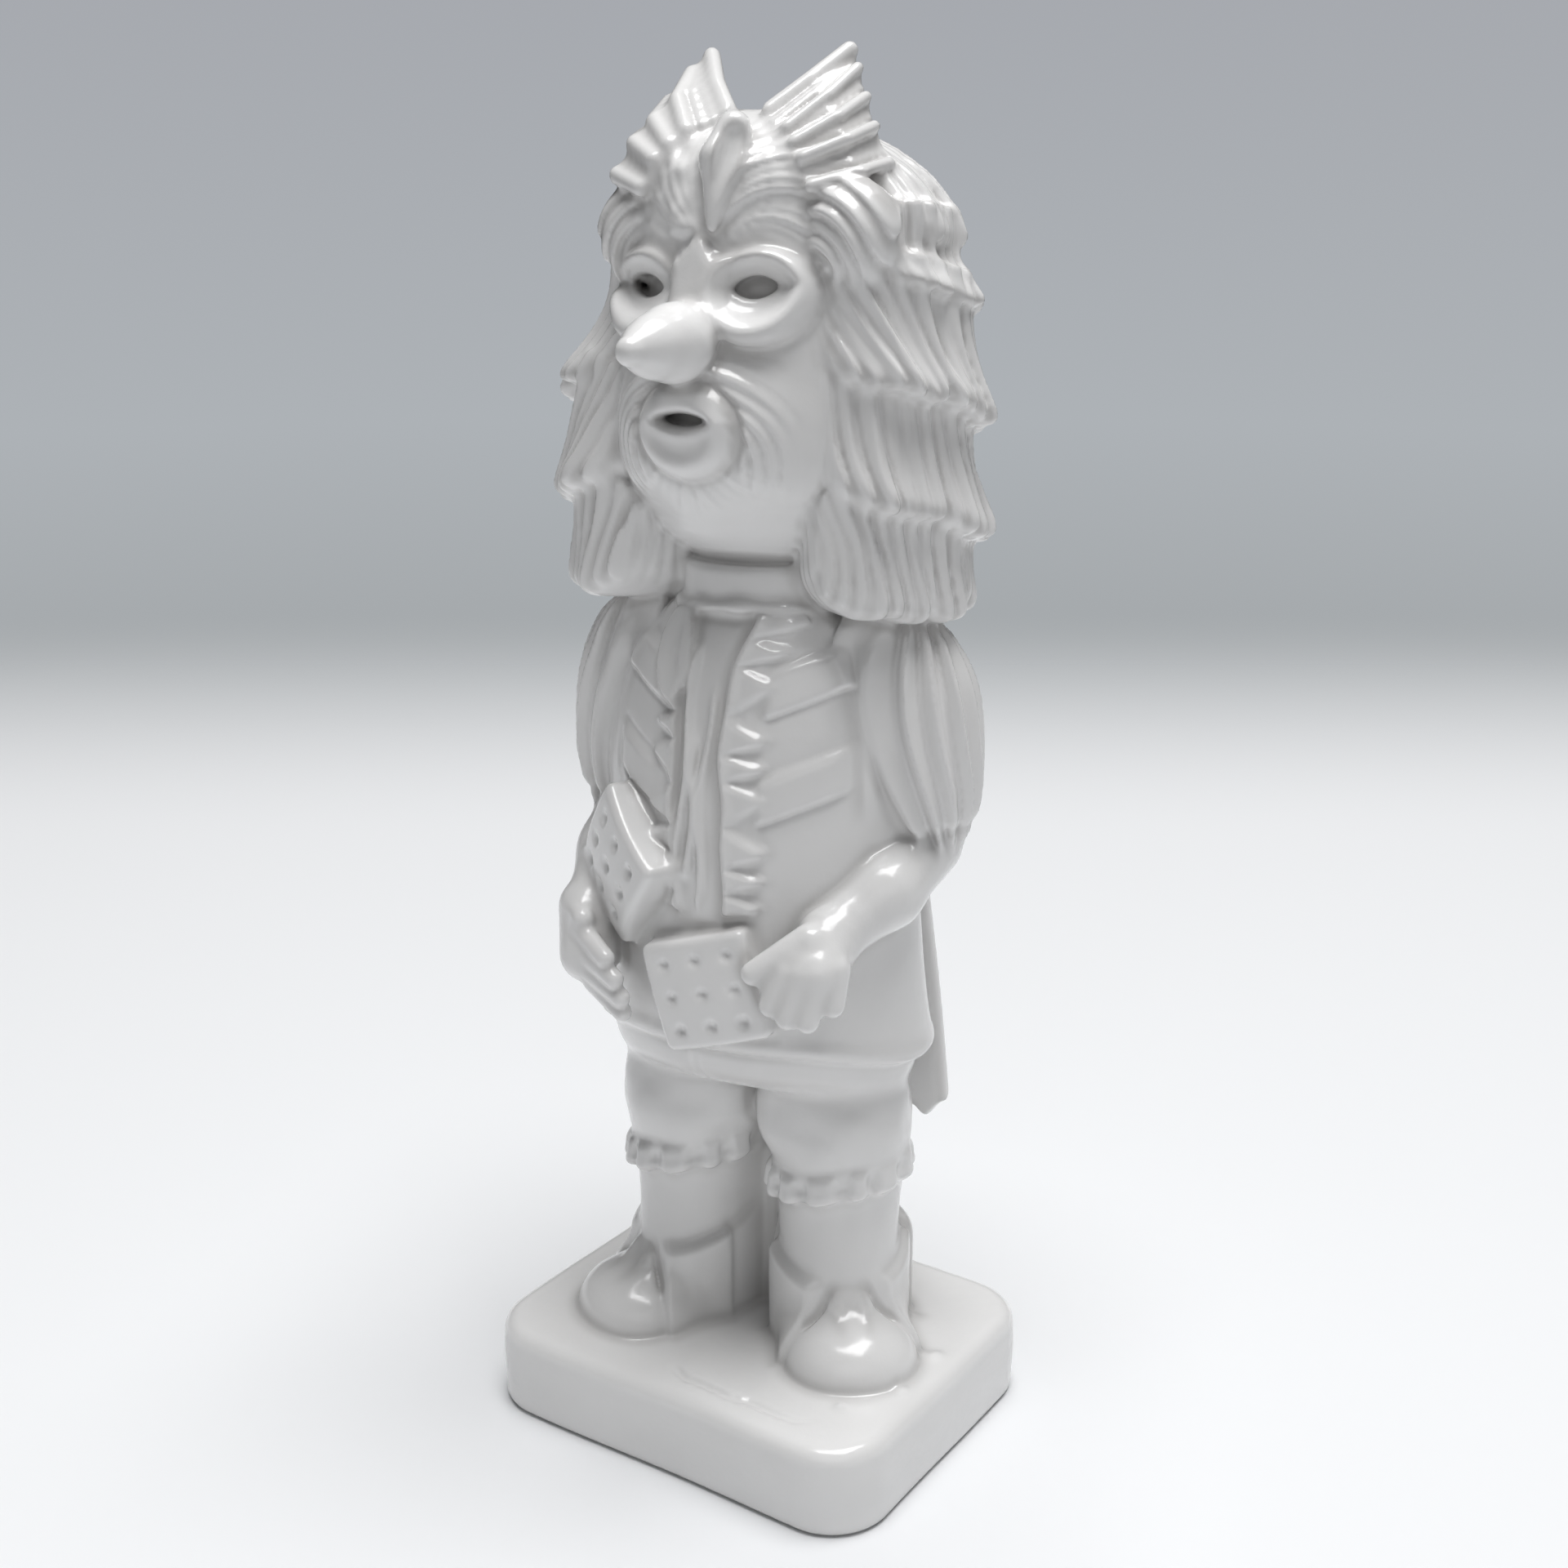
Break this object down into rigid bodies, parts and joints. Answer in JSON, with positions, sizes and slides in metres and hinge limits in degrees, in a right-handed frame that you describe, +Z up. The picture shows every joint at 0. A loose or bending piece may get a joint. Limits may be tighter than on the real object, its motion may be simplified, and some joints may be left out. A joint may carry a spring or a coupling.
{
  "type": "glazed figure on plinth",
  "caption": "White glazed casting of a masked carnival figure with fleece wig, crown wings and toothed hand boards, standing on a rounded oblong plinth.",
  "frame": {"origin": "middle of the plinth's flat underside", "axes": "+Z up, the plinth's front and the figure's face towards -Y, the figure's left hand towards +X; the figure is turned a few degrees on its plinth"},
  "size_m": [0.088, 0.0756, 0.2554],
  "materials": {
    "white_glaze": "gloss"
  },
  "bodies": {
    "root": {"back_drape": "white_glaze", "brow_fleece": "white_glaze", "collar": "white_glaze", "forelock": "white_glaze", "goggles": "white_glaze", "head": "white_glaze", "left_carder": "white_glaze", "left_forearm": "white_glaze", "left_hand": "white_glaze", "left_knee_cuff": "white_glaze", "left_leg": "white_glaze", "left_ruffle": "white_glaze", "left_shoe": "white_glaze", "left_sleeve": "white_glaze", "left_tuft": "white_glaze", "left_whisker": "white_glaze", "left_wing": "white_glaze", "mouth_ring": "white_glaze", "nose": "white_glaze", "placket": "white_glaze", "plinth": "white_glaze", "right_carder": "white_glaze", "right_forearm": "white_glaze", "right_hand": "white_glaze", "right_knee_cuff": "white_glaze", "right_leg": "white_glaze", "right_ruffle": "white_glaze", "right_shoe": "white_glaze", "right_sleeve": "white_glaze", "right_tuft": "white_glaze", "right_whisker": "white_glaze", "right_wing": "white_glaze", "tunic": "white_glaze", "under_band": "white_glaze", "wig_tier_1": "white_glaze", "wig_tier_2": "white_glaze", "wig_tier_3": "white_glaze", "wig_tier_4": "white_glaze", "wig_tier_5": "white_glaze"}
  },
  "joints": []
}
